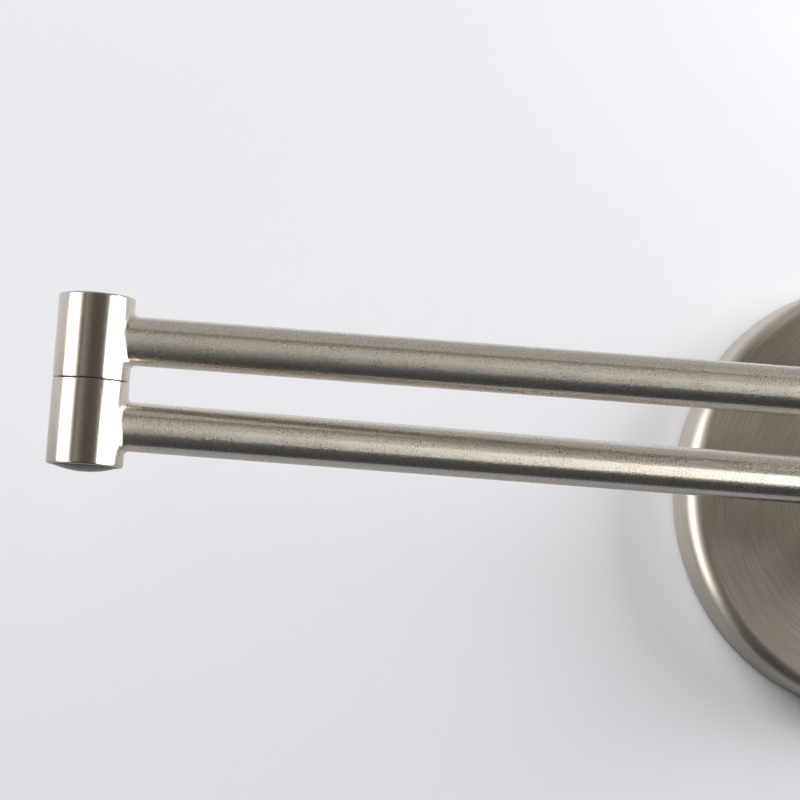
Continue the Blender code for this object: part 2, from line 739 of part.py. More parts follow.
def knob_outline(low, stud_end):
    """A crowned knob with a groove near its inner end, and its stud."""
    top = low + KNOB_LENGTH
    outline = [(0, top), (KNOB_R - KNOB_CROWN - 0.0004, top)]
    outline += arc((KNOB_R - KNOB_CROWN, top - KNOB_CROWN), KNOB_CROWN, 75, 0, 4)
    outline += [
        (KNOB_R, low + 0.0022),
        (KNOB_R - KNOB_GROOVE, low + 0.0018),
        (KNOB_R - KNOB_GROOVE, low + 0.001),
        (KNOB_R, low + 0.0006),
        (KNOB_R, low),
        (PIVOT_R, low),
        (PIVOT_R, stud_end),
        (0, stud_end),
    ]
    return outline


clear_scene()
parts = new_collection("extendable_shaving_mirror")
cutters = new_collection("cutters")

wall_frame = axis_empty("wall_frame", None, (0, 0, 0))
wall_swing_axis = axis_empty("wall_swing_axis", wall_frame, (0, -ARM_STANDOFF, 0))
elbow_axis = axis_empty("elbow_axis", wall_swing_axis, (-LOWER_ARM, 0, 0), -ARM_OPENING)
head_swivel_axis = axis_empty("head_swivel_axis", elbow_axis, (UPPER_ARM, 0, 0), HEAD_TURN + ARM_OPENING)
mirror_flip_axis = axis_empty("mirror_flip_axis", head_swivel_axis, (0, 0, MIRROR_HEIGHT))
lower_elbow_frame = axis_empty("lower_elbow_frame", wall_swing_axis, (-LOWER_ARM, 0, 0))
head_barrel_frame = axis_empty("head_barrel_frame", elbow_axis, (UPPER_ARM, 0, 0))

wall_plate_cover(wall_frame)
mounting_bracket(wall_frame)
cover_grub_screw(wall_frame)
post_collar(wall_frame)
wall_clevis(wall_frame)
wall_hinge_bolt(wall_frame)
wall_hinge_nut(wall_frame)

wall_hinge_bushes(wall_swing_axis)
lower_arm(wall_swing_axis)
elbow_barrel("lower_arm_elbow_barrel", lower_elbow_frame, (0, 0, 0))
end_cap("elbow_cap_bottom", lower_elbow_frame, (0, 0, 0))

upper_arm(elbow_axis)
elbow_fasteners(elbow_axis)
end_cap("elbow_cap_top", elbow_axis, (0, 0, ARM_RISE), UPSIDE_DOWN, TOP_CAP_DOME)
head_bush(elbow_axis)
end_cap("head_cap_bottom", head_barrel_frame, (0, 0, ARM_RISE))

swivel_stem(head_swivel_axis)
yoke(head_swivel_axis, mirror_flip_axis)

mirror_rim(mirror_flip_axis)
mirror_glasses(mirror_flip_axis)
mirror_pivots(mirror_flip_axis)
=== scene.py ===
import json
import math

import bpy
from mathutils import Matrix, Vector

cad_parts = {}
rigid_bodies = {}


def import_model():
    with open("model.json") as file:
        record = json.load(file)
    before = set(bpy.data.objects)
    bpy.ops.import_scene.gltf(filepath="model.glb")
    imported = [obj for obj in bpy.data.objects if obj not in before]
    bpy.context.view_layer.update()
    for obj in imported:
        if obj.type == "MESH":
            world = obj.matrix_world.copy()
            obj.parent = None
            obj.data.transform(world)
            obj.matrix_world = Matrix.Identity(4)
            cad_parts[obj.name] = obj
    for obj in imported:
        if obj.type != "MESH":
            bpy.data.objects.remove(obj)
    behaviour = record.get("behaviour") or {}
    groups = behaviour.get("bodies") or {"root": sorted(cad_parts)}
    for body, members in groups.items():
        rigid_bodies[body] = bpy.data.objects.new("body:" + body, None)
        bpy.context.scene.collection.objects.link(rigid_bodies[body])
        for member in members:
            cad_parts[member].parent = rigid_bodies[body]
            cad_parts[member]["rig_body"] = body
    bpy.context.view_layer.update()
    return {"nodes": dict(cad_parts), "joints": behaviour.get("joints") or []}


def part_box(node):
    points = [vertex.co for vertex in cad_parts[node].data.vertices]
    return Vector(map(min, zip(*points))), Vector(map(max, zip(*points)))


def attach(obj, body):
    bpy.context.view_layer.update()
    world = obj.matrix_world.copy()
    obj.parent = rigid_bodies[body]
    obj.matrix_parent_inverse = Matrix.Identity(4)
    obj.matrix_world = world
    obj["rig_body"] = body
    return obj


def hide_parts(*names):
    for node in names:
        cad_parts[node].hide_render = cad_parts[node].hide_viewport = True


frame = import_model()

# ------------------------------------------------------------------ sizes

# Sizes that the frame's boxes don't give, in metres.
GAP = 0.0003
TUBE_R = 0.006
BARREL_EDGE = 0.0006
SEAM_EDGE = 0.00018
CAP_SEAT_R = 0.0085
CAP_SEAT_DEPTH = 0.0025
COUNTERBORE_R = 0.0072
COUNTERBORE_DEPTH = 0.0102
BOLT_BORE_R = 0.0033
BUSH_BORE_R = 0.0043
STUD_HOLE_R = 0.0043
GRUB_HOLE_R = 0.0018
WASHER_POCKET_R = 0.0075
WASHER_POCKET = 0.00085
WELD_FILLET = 0.0011
PLATE_RIM_R = 0.004
PLATE_SHEET = 0.0012
RIM_ROUND = 0.003
RIM_WALL = 0.0015
RIM_LIP = 0.0012
RIM_LIP_R = 0.0855
PIVOT_HOLE_R = 0.0028
YOKE_ROD_R = 0.00375
YOKE_R = 0.09725
EYE_R = 0.0065
EYE_HALF = 0.0042
PIVOT_STUD_R = 0.0025
KNOB_FLUTES = 28
KNOB_FLUTE_DEPTH = 0.00022

NICKEL = (0.655, 0.605, 0.53)
WALL_PAINT = (0.81, 0.825, 0.88)
FLOOR_Z = -0.45

VERY_FINE = 256
FINE = 128
SMALL = 64


# ------------------------------------------------------------------ places

joints = {joint["name"]: joint for joint in frame["joints"]}


def middle(node):
    low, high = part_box(node)
    return (low + high) / 2


def span(node):
    low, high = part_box(node)
    return high - low


def upright(at, turn=0.0):
    """A frame standing at a point, turned about Z."""
    return Matrix.Translation(at) @ Matrix.Rotation(turn, 4, "Z")


def along(at, direction, up=(0, 0, 1)):
    """A frame whose Z runs along a direction and whose X is as near to up as it can be."""
    z = Vector(direction).normalized()
    y = z.cross(Vector(up)).normalized()
    x = y.cross(z)
    turn = Matrix((x, y, z)).transposed().to_4x4()
    return Matrix.Translation(at) @ turn


wall_axis = middle("lower_arm_wall_barrel")
elbow_low = middle("lower_arm_elbow_barrel")
elbow_high = middle("upper_arm_elbow_barrel")
head_axis = middle("upper_arm_head_barrel")
mirror_at = Vector(joints["mirror_flip"]["pos_m"])
flip_axis = Vector(joints["mirror_flip"]["axis"]).normalized()
mirror_front = flip_axis.cross(Vector((0, 0, 1)))
barrel_r = span("lower_arm_elbow_barrel").x / 2
barrel_half = span("lower_arm_elbow_barrel").z / 2


# ------------------------------------------------------------------ mesh tools


def arc(centre, radius, start, end, count):
    """Points on an arc in degrees, both ends included."""
    points = []
    for i in range(count + 1):
        angle = math.radians(start + (end - start) * i / count)
        points.append((centre[0] + radius * math.cos(angle), centre[1] + radius * math.sin(angle)))
    return points


def finish_mesh(mesh, matrix, sharp):
    """Smooth shading with creases kept sharp.
    Each point keeps its place in the frame it was turned in, and the direction round that frame's Z."""
    mesh.shade_smooth()
    mesh.set_sharp_from_angle(angle=math.radians(sharp))
    turned_at = mesh.attributes.new("turned", "FLOAT_VECTOR", "POINT")
    around = mesh.attributes.new("around", "FLOAT_VECTOR", "POINT")
    turn = matrix.to_3x3()
    back = matrix.inverted()
    for i, vertex in enumerate(mesh.vertices):
        place = back @ vertex.co
        turned_at.data[i].vector = place
        around.data[i].vector = turn @ Vector((-place.y, place.x, 0)).normalized()


def as_object(name, vertices, faces, matrix, sharp=40):
    """A smooth mesh set in the row frame by the matrix."""
    mesh = bpy.data.meshes.new(name)
    mesh.from_pydata([matrix @ Vector(v) for v in vertices], [], faces)
    finish_mesh(mesh, matrix, sharp)
    thing = bpy.data.objects.new(name, mesh)
    bpy.context.scene.collection.objects.link(thing)
    return thing


def ring_faces(first, second, count):
    return [
        (first + j, second + j, second + (j + 1) % count, first + (j + 1) % count)
        for j in range(count)
    ]


def lathe(name, outline, matrix, segments=FINE, shape=None, sharp=40):
    """A solid turned about the frame's Z, from (radius, height) points down its outer side.
    shape(radius, height, angle) may change a point's radius."""
    vertices = []
    faces = []
    starts = []
    for radius, height in outline:
        starts.append(len(vertices))
        if radius == 0:
            vertices.append((0, 0, height))
            continue
        for j in range(segments):
            angle = 2 * math.pi * j / segments
            r = shape(radius, height, angle) if shape else radius
            vertices.append((r * math.cos(angle), r * math.sin(angle), height))
    pairs = list(zip(range(len(outline) - 1), range(1, len(outline))))
    if outline[0][0] > 0:
        pairs.append((len(outline) - 1, 0))
    for i, k in pairs:
        a, b = starts[i], starts[k]
        for j in range(segments):
            n = (j + 1) % segments
            if outline[i][0] == 0:
                faces.append((a, b + j, b + n))
            elif outline[k][0] == 0:
                faces.append((a + j, b, a + n))
            else:
                faces.append((a + j, b + j, b + n, a + n))
    return as_object(name, vertices, faces, matrix, sharp)


def swept(name, route, radius, matrix, sides=40):
    """A round rod along a plane route of (point, across) pairs in XZ; both ends closed."""
    vertices = []
    faces = []
    for point, across in route:
        for j in range(sides):
            angle = 2 * math.pi * j / sides
            offset = across * (radius * math.cos(angle)) + Vector((0, radius * math.sin(angle), 0))
            vertices.append(tuple(point + offset))
    for i in range(len(route) - 1):
        a, b = i * sides, (i + 1) * sides
        faces += ring_faces(a, b, sides)
    faces.append(tuple(range(sides)))
    faces.append(tuple(range((len(route) - 1) * sides, len(route) * sides))[::-1])
    return as_object(name, vertices, faces, matrix)


def drilled(piece, matrix, hole_at, radius, depth, sharp=40):
    """The piece with a round hole cut along Z, centred on a point."""
    outline = [(0, depth / 2), (radius, depth / 2), (radius, -depth / 2), (0, -depth / 2)]
    cutter = lathe("cutter", outline, Matrix.Translation(hole_at), SMALL)
    cut = piece.modifiers.new("hole", "BOOLEAN")
    cut.object = cutter
    ready = piece.evaluated_get(bpy.context.evaluated_depsgraph_get())
    mesh = bpy.data.meshes.new_from_object(ready)
    mesh.name = piece.name
    piece.modifiers.clear()
    piece.data = mesh
    for name in ("turned", "around"):
        mesh.attributes.remove(mesh.attributes[name])
    finish_mesh(mesh, matrix, sharp)
    bpy.data.objects.remove(cutter)
    return piece


# ------------------------------------------------------------------ node helpers


class Nodes:
    """A small builder for a material's or a world's nodes."""

    def __init__(self, tree):
        self.tree = tree
        tree.nodes.clear()

    def add(self, kind, **settings):
        node = self.tree.nodes.new(kind)
        for key, value in settings.items():
            setattr(node, key, value)
        return node

    def link(self, source, target):
        self.tree.links.new(source, target)

    def put(self, socket, value):
        if isinstance(value, bpy.types.NodeSocket):
            self.link(value, socket)
        else:
            socket.default_value = value

    def math(self, operation, a, b=0.0, clamp=False):
        node = self.add("ShaderNodeMath", operation=operation, use_clamp=clamp)
        self.put(node.inputs[0], a)
        self.put(node.inputs[1], b)
        return node.outputs[0]

    def vector(self, operation, a, b=(0, 0, 0)):
        node = self.add("ShaderNodeVectorMath", operation=operation)
        self.put(node.inputs[0], a)
        if operation == "SCALE":
            self.put(node.inputs["Scale"], b)
        else:
            self.put(node.inputs[1], b)
        return node.outputs["Value"] if operation == "LENGTH" else node.outputs["Vector"]

    def spread(self, value, low, high, to_low=0.0, to_high=1.0, smooth=False):
        """Maps a value's range onto another, clamped."""
        node = self.add("ShaderNodeMapRange")
        node.interpolation_type = "SMOOTHSTEP" if smooth else "LINEAR"
        self.put(node.inputs["Value"], value)
        node.inputs["From Min"].default_value = low
        node.inputs["From Max"].default_value = high
        node.inputs["To Min"].default_value = to_low
        node.inputs["To Max"].default_value = to_high
        return node.outputs["Result"]

    def mix(self, factor, a, b):
        node = self.add("ShaderNodeMix", data_type="RGBA")
        self.put(node.inputs["Factor"], factor)
        self.put(node.inputs["A"], a)
        self.put(node.inputs["B"], b)
        return node.outputs["Result"]

    def noise(self, vector, scale, detail=2.0, roughness=0.55):
        node = self.add("ShaderNodeTexNoise")
        self.put(node.inputs["Vector"], vector)
        node.inputs["Scale"].default_value = scale
        node.inputs["Detail"].default_value = detail
        node.inputs["Roughness"].default_value = roughness
        return node.outputs["Fac"]


def new_material(name):
    material = bpy.data.materials.new(name)
    material.use_nodes = True
    nodes = Nodes(material.node_tree)
    shader = nodes.add("ShaderNodeBsdfPrincipled")
    output = nodes.add("ShaderNodeOutputMaterial")
    nodes.link(shader.outputs[0], output.inputs["Surface"])
    return material, nodes, shader


def rgb(red, green, blue):
    return (red, green, blue, 1.0)


# ------------------------------------------------------------------ materials


def turned_grain(nodes, across, around):
    """The turned place, and noise drawn out round the turning axis.
    Across is lines per metre, and around is grains per radian."""
    place = nodes.add("ShaderNodeAttribute", attribute_name="turned").outputs["Vector"]
    flat = nodes.vector("MULTIPLY", place, (1, 1, 0))
    direction = nodes.vector("SCALE", nodes.vector("NORMALIZE", flat), around)
    depth = nodes.vector("MULTIPLY", place, (0, 0, 1))
    radius = nodes.vector("LENGTH", flat)
    split = nodes.add("ShaderNodeSeparateXYZ")
    nodes.link(depth, split.inputs[0])
    line = nodes.math("MULTIPLY", nodes.math("ADD", radius, split.outputs["Z"]), across)
    join = nodes.add("ShaderNodeCombineXYZ")
    nodes.link(line, join.inputs["Z"])
    vector = nodes.vector("ADD", direction, join.outputs[0])
    return place, nodes.noise(vector, 1.0, 1.0, 0.5)


def nickel(name, roughness, anisotropy, across, around, bump, contrast=0.25):
    """Satin nickel brushed round a piece's turning axis. Contrast is how much duller its dull grains are."""
    material, nodes, shader = new_material(name)
    place, grain = turned_grain(nodes, across, around)
    cloud = nodes.noise(place, 90.0, 3.0)
    light = [shade / (1 - contrast / 2) for shade in NICKEL]
    dark = [(1 - contrast) * shade for shade in light]
    tint = nodes.mix(nodes.spread(grain, 0.28, 0.72), rgb(*dark), rgb(*light))
    nodes.link(tint, shader.inputs["Base Color"])
    fine = nodes.spread(grain, 0.2, 0.8, -0.012, 0.012)
    broad = nodes.spread(cloud, 0.3, 0.7, roughness - 0.006, roughness + 0.006)
    nodes.link(nodes.math("ADD", fine, broad), shader.inputs["Roughness"])
    shader.inputs["Metallic"].default_value = 1.0
    shader.inputs["Anisotropic"].default_value = anisotropy
    shader.inputs["Anisotropic Rotation"].default_value = 0.25
    along_grain = nodes.add("ShaderNodeAttribute", attribute_name="around").outputs["Vector"]
    tangent = nodes.add(
        "ShaderNodeVectorTransform", vector_type="VECTOR", convert_from="OBJECT", convert_to="WORLD"
    )
    nodes.link(along_grain, tangent.inputs[0])
    nodes.link(tangent.outputs[0], shader.inputs["Tangent"])
    relief = nodes.add("ShaderNodeBump")
    relief.inputs["Strength"].default_value = 1.0
    relief.inputs["Distance"].default_value = bump
    nodes.link(grain, relief.inputs["Height"])
    nodes.link(relief.outputs[0], shader.inputs["Normal"])
    return material


def plain_metal(name, colour, roughness, scale, bump):
    """Metal with an even fine grain."""
    material, nodes, shader = new_material(name)
    place = nodes.add("ShaderNodeTexCoord").outputs["Object"]
    grain = nodes.noise(place, scale, 3.0, 0.6)
    cloud = nodes.noise(place, 120.0, 3.0)
    dark = rgb(*(0.82 * c for c in colour))
    nodes.link(nodes.mix(nodes.spread(grain, 0.3, 0.7), dark, rgb(*colour)), shader.inputs["Base Color"])
    nodes.link(
        nodes.spread(cloud, 0.3, 0.7, roughness - 0.04, roughness + 0.05), shader.inputs["Roughness"]
    )
    shader.inputs["Metallic"].default_value = 1.0
    relief = nodes.add("ShaderNodeBump")
    relief.inputs["Distance"].default_value = bump
    nodes.link(grain, relief.inputs["Height"])
    nodes.link(relief.outputs[0], shader.inputs["Normal"])
    return material


def moulded(name, colour, roughness, bump):
    """Moulded plastic with a very fine texture and a few dull patches."""
    material, nodes, shader = new_material(name)
    place = nodes.add("ShaderNodeTexCoord").outputs["Object"]
    grain = nodes.noise(place, 6000.0, 2.0, 0.5)
    cloud = nodes.noise(place, 220.0, 3.0)
    light = rgb(*(min(1.0, 1.25 * c) for c in colour))
    nodes.link(nodes.mix(nodes.spread(cloud, 0.3, 0.7), rgb(*colour), light), shader.inputs["Base Color"])
    nodes.link(
        nodes.spread(cloud, 0.3, 0.7, roughness - 0.04, roughness + 0.05), shader.inputs["Roughness"]
    )
    shader.inputs["Specular IOR Level"].default_value = 0.5
    relief = nodes.add("ShaderNodeBump")
    relief.inputs["Distance"].default_value = bump
    nodes.link(grain, relief.inputs["Height"])
    nodes.link(relief.outputs[0], shader.inputs["Normal"])
    return material


def silvered_glass(name):
    """A polished mirror with faint smears."""
    material, nodes, shader = new_material(name)
    place = nodes.add("ShaderNodeTexCoord").outputs["Object"]
    smear = nodes.noise(place, 35.0, 4.0, 0.6)
    nodes.link(
        nodes.mix(smear, rgb(0.88, 0.905, 0.90), rgb(0.93, 0.945, 0.94)), shader.inputs["Base Color"]
    )
    nodes.link(nodes.spread(smear, 0.45, 0.8, 0.012, 0.045), shader.inputs["Roughness"])
    shader.inputs["Metallic"].default_value = 1.0
    return material


def fibre_board(name):
    material, nodes, shader = new_material(name)
    place = nodes.add("ShaderNodeTexCoord").outputs["Object"]
    fibre = nodes.noise(place, 900.0, 5.0, 0.7)
    nodes.link(
        nodes.mix(fibre, rgb(0.22, 0.20, 0.17), rgb(0.38, 0.35, 0.30)), shader.inputs["Base Color"]
    )
    nodes.link(nodes.spread(fibre, 0.3, 0.7, 0.8, 0.95), shader.inputs["Roughness"])
    return material


def painted_wall(name):
    """White paint, seen from the room only; from behind the wall it lets the view through.
    In metal's reflections its colour carries painted shade: darker below the wall plate's middle and from a
    little above the arms upwards, as if its far parts were less lit."""
    material, nodes, shader = new_material(name)
    place = nodes.add("ShaderNodeNewGeometry").outputs["Position"]
    cloud = nodes.noise(place, 3.0, 2.0)
    split = nodes.add("ShaderNodeSeparateXYZ")
    nodes.link(place, split.inputs[0])
    height = split.outputs["Z"]
    # Painted shade for reflections only: the wall's colour is darkened below height 0 and above 0.08 m,
    # standing in for less light on those parts.
    painted_shade_low = nodes.spread(height, -0.03, 0.03, 0.58, 1.0)
    painted_shade_high = nodes.spread(height, 0.08, 0.14, 1.0, 0.55, smooth=True)
    mirrored = nodes.add("ShaderNodeLightPath").outputs["Is Glossy Ray"]
    # dull is the painted shade factor that darkens the paint where metal mirrors it.
    dull = nodes.math("MULTIPLY", painted_shade_low, painted_shade_high)
    paint = nodes.mix(cloud, rgb(*WALL_PAINT), rgb(*(1.02 * c for c in WALL_PAINT)))
    paint_in_painted_shade = nodes.vector("SCALE", paint, dull)
    nodes.link(nodes.mix(mirrored, paint, paint_in_painted_shade), shader.inputs["Base Color"])
    shader.inputs["Roughness"].default_value = 0.6
    shader.inputs["Specular IOR Level"].default_value = 0.2
    clear = nodes.add("ShaderNodeBsdfTransparent")
    side = nodes.add("ShaderNodeNewGeometry").outputs["Backfacing"]
    blend = nodes.add("ShaderNodeMixShader")
    nodes.link(side, blend.inputs["Fac"])
    nodes.link(shader.outputs[0], blend.inputs[1])
    nodes.link(clear.outputs[0], blend.inputs[2])
    output = next(n for n in nodes.tree.nodes if n.bl_idname == "ShaderNodeOutputMaterial")
    nodes.link(blend.outputs[0], output.inputs["Surface"])
    return material


def pale_floor(name):
    material, nodes, shader = new_material(name)
    place = nodes.add("ShaderNodeTexCoord").outputs["Object"]
    cloud = nodes.noise(place, 4.0, 3.0)
    nodes.link(
        nodes.mix(cloud, rgb(0.43, 0.43, 0.44), rgb(0.45, 0.45, 0.46)), shader.inputs["Base Color"]
    )
    shader.inputs["Roughness"].default_value = 0.7
    return material


tube_nickel = nickel("tube_nickel", 0.28, 0.85, 2400.0, 15.0, 0.000002, 0.26)
barrel_nickel = nickel("barrel_nickel", 0.25, 0.75, 2600.0, 9.0, 0.000004, 0.14)
plate_nickel = nickel("plate_nickel", 0.34, 0.80, 1800.0, 4.0, 0.000006, 0.2)
rim_nickel = nickel("rim_nickel", 0.30, 0.80, 2600.0, 9.0, 0.000005, 0.14)
rod_nickel = plain_metal("rod_nickel", (0.68, 0.645, 0.60), 0.27, 2600.0, 0.000004)
zinc = plain_metal("zinc", (0.60, 0.61, 0.63), 0.34, 1800.0, 0.000008)
black_plastic = moulded("black_plastic", (0.012, 0.012, 0.014), 0.24, 0.000002)
nylon = moulded("nylon", (0.66, 0.65, 0.60), 0.42, 0.000004)
silver = silvered_glass("silver")
board = fibre_board("board")


# ------------------------------------------------------------------ pieces


def dress(piece, material, body, slot, *nodes):
    """Gives a new piece its finish, its body and the CAD nodes it stands for."""
    piece.data.materials.append(material)
    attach(piece, body)
    if nodes:
        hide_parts(*nodes)
    return piece


def barrel_end(half, edge=BARREL_EDGE):
    """The rounded and capped lower end of a barrel, from its side in to the counterbore's floor."""
    lip = 0.00015
    points = arc((barrel_r - edge, -half + edge), edge, 0, -90, 6)
    points += [
        (CAP_SEAT_R + lip, -half),
        (CAP_SEAT_R, -half + lip),
        (CAP_SEAT_R, -half + CAP_SEAT_DEPTH),
        (COUNTERBORE_R, -half + CAP_SEAT_DEPTH),
        (COUNTERBORE_R, -half + COUNTERBORE_DEPTH),
    ]
    return points


def elbow_barrels():
    half = barrel_half
    floor = half - WASHER_POCKET
    outline = [(BOLT_BORE_R, floor), (WASHER_POCKET_R, floor), (WASHER_POCKET_R, half)]
    outline += arc((barrel_r - SEAM_EDGE, half - SEAM_EDGE), SEAM_EDGE, 90, 0, 3)
    outline += barrel_end(half)
    outline += [(BOLT_BORE_R, -half + COUNTERBORE_DEPTH)]
    lower = lathe("lower_elbow_barrel_fine", outline, upright(elbow_low))
    dress(lower, barrel_nickel, "lower_arm", "satin_nickel", "lower_arm_elbow_barrel")
    flipped = Matrix.Translation(elbow_high) @ Matrix.Rotation(math.pi, 4, "X")
    upper = lathe("upper_elbow_barrel_fine", outline, flipped)
    dress(upper, barrel_nickel, "upper_arm", "satin_nickel", "upper_arm_elbow_barrel")


def head_barrel():
    half = barrel_half
    outline = [(BUSH_BORE_R, half)]
    outline += arc((barrel_r - BARREL_EDGE, half - BARREL_EDGE), BARREL_EDGE, 90, 0, 6)
    outline += barrel_end(half)
    outline += [(BUSH_BORE_R, -half + COUNTERBORE_DEPTH)]
    piece = lathe("head_barrel_fine", outline, upright(head_axis))
    dress(piece, barrel_nickel, "upper_arm", "satin_nickel", "upper_arm_head_barrel")


def wall_barrel():
    half = span("lower_arm_wall_barrel").z / 2
    edge = BARREL_EDGE
    outline = [(BUSH_BORE_R, half)]
    outline += arc((barrel_r - edge, half - edge), edge, 90, 0, 6)
    outline += arc((barrel_r - edge, edge - half), edge, 0, -90, 6)
    outline += [(BUSH_BORE_R, -half)]
    piece = lathe("wall_barrel_fine", outline, upright(wall_axis))
    dress(piece, barrel_nickel, "lower_arm", "satin_nickel", "lower_arm_wall_barrel")


def end_caps():
    """Domed plugs, each a little inside its barrel's rim."""
    edge_r = CAP_SEAT_R - GAP
    roll = 0.0005
    seat = -barrel_half + CAP_SEAT_DEPTH - GAP
    rim_low = -barrel_half + 0.0001
    spigot_r = COUNTERBORE_R - GAP
    spigot = [
        (0, seat),
        (spigot_r - 0.0008, seat),
        (spigot_r - 0.0008, seat + 0.0035),
        (spigot_r, seat + 0.0035),
        (spigot_r, seat),
        (edge_r, seat),
        (edge_r, rim_low + roll),
        (edge_r - 0.0001, rim_low + 0.0001),
    ]
    upside_down = Matrix.Rotation(math.pi, 4, "X")
    places = (
        ("elbow_cap_bottom", "lower_arm", upright(elbow_low), elbow_low.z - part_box("elbow_cap_bottom")[0].z),
        (
            "elbow_cap_top",
            "upper_arm",
            Matrix.Translation(elbow_high) @ upside_down,
            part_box("elbow_cap_top")[1].z - elbow_high.z,
        ),
        ("head_cap_bottom", "upper_arm", upright(head_axis), head_axis.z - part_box("head_cap_bottom")[0].z),
    )
    for node, body, matrix, reach in places:
        rise = rim_low + reach
        dome_r = (edge_r**2 + rise**2) / (2 * rise)
        half_angle = math.degrees(math.asin(edge_r / dome_r))
        dome = arc((0, dome_r - reach), dome_r, -90 + half_angle * 0.97, -90, 14)
        dome[-1] = (0, -reach)
        cap = lathe(node + "_fine", spigot + dome, matrix, SMALL)
        dress(cap, black_plastic, body, "black_plastic", node)


def arm_tube(node, body, start, end):
    """A tube between two barrels' axes, with a small weld fillet where it meets each."""
    direction = Vector(end) - Vector(start)
    length = direction.length
    sides = 160
    steps = 12
    straight = 60
    vertices = []

    def fillet(angle):
        return WELD_FILLET * (1 + 0.05 * math.sin(3 * angle + 1))

    def ring(reach, at_end):
        """One ring round the tube. reach is the turn along the fillet, 0 at the barrel to 90 degrees."""
        for j in range(sides):
            angle = 2 * math.pi * j / sides
            size = fillet(angle)
            radius = TUBE_R + size * (1 - math.sin(reach))
            step = size * (1 - math.cos(reach))
            side = radius * math.sin(angle)
            z = math.sqrt(barrel_r**2 - side**2) + step
            vertices.append((radius * math.cos(angle), side, length - z if at_end else z))

    def buried(at_end):
        """The ring just inside the barrel's skin."""
        for j in range(sides):
            angle = 2 * math.pi * j / sides
            radius = TUBE_R + fillet(angle)
            side = radius * math.sin(angle)
            z = math.sqrt(barrel_r**2 - side**2) - 0.0003
            vertices.append((radius * math.cos(angle), side, length - z if at_end else z))

    buried(False)
    for i in range(steps + 1):
        ring(math.pi / 2 * i / steps, False)
    first = barrel_r + 2 * WELD_FILLET
    for i in range(straight + 1):
        z = first + (length - 2 * first) * i / straight
        for j in range(sides):
            angle = 2 * math.pi * j / sides
            vertices.append((TUBE_R * math.cos(angle), TUBE_R * math.sin(angle), z))
    for i in range(steps, -1, -1):
        ring(math.pi / 2 * i / steps, True)
    buried(True)
    rings = len(vertices) // sides
    faces = []
    for i in range(rings - 1):
        faces += [f[::-1] for f in ring_faces(i * sides, (i + 1) * sides, sides)]
    inner = 0.0075
    vertices += [(0, 0, inner), (0, 0, length - inner)]
    near_hub, far_hub = len(vertices) - 2, len(vertices) - 1
    last = (rings - 1) * sides
    for j in range(sides):
        n = (j + 1) % sides
        faces.append((near_hub, n, j))
        faces.append((far_hub, last + j, last + n))
    piece = as_object(node + "_fine", vertices, faces, along(start, direction), 60)
    dress(piece, tube_nickel, body, "satin_nickel", node)


def arms():
    arm_tube("lower_arm_tube", "lower_arm", elbow_low, wall_axis + Vector((0, 0, elbow_low.z - wall_axis.z)))
    arm_tube("upper_arm_tube", "upper_arm", elbow_high, head_axis)


def wall_plate():
    low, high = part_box("wall_plate_cover")
    radius = (high.x - low.x) / 2
    depth = -low.y
    back = -high.y
    shoulder = (radius - PLATE_RIM_R, depth - PLATE_RIM_R)
    outline = [(STUD_HOLE_R, depth)]
    outline += arc(shoulder, PLATE_RIM_R, 90, 0, 16)
    outline += arc((radius - 0.0004, back + 0.0004), 0.0004, 0, -90, 4)
    outline += [(radius - PLATE_SHEET, back)]
    outline += arc(shoulder, PLATE_RIM_R - PLATE_SHEET, 0, 90, 10)
    outline += [(STUD_HOLE_R, depth - PLATE_SHEET)]
    towards_room = Matrix.Rotation(math.pi / 2, 4, "X")
    cover = lathe("wall_plate_cover_fine", outline, towards_room, VERY_FINE)
    screw = middle("cover_grub_screw")
    drilled(cover, towards_room, (screw.x, screw.y, low.z), GRUB_HOLE_R, 4 * PLATE_SHEET)
    dress(cover, plate_nickel, "wall_mount", "satin_nickel", "wall_plate_cover")


def collar():
    low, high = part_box("post_collar")
    radius = (high.x - low.x) / 2
    edge = 0.0007
    outline = [(STUD_HOLE_R, -low.y)]
    outline += arc((radius - edge, -low.y - edge), edge, 90, 0, 6)
    outline += [(radius, -high.y), (STUD_HOLE_R, -high.y)]
    piece = lathe("post_collar_fine", outline, Matrix.Rotation(math.pi / 2, 4, "X"), SMALL)
    dress(piece, barrel_nickel, "wall_mount", "satin_nickel", "post_collar")


def stem():
    low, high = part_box("swivel_stem")
    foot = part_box("head_bush")[1].z + GAP
    top = high.z
    spindle_r = 0.003
    neck = 0.005
    outline = [(0, top), (0.0062, top)]
    outline += arc((0.0062, top - 0.0006), 0.0006, 90, 0, 4)
    outline += [(0.0068, top - 0.003)]
    outline += arc((neck + 0.0040, top - 0.0090), 0.0040, 135, 180, 6)
    outline += arc((neck + 0.0055, foot + 0.0095), 0.0055, 180, 240, 8)
    outline += arc((barrel_r - 0.0009, foot + 0.0024), 0.0009, 80, 0, 5)
    outline += arc((barrel_r - 0.0005, foot + 0.0005), 0.0005, 0, -90, 4)
    outline += [(spindle_r, foot), (spindle_r, low.z), (0, low.z)]
    at = Vector((head_axis.x, head_axis.y, 0))
    piece = lathe("swivel_stem_fine", outline, upright(at), SMALL)
    dress(piece, barrel_nickel, "yoke", "satin_nickel", "swivel_stem")


def head_frame():
    """Upright at the mirror's centre, with X along the flip axis."""
    return upright(mirror_at, math.atan2(flip_axis.y, flip_axis.x))


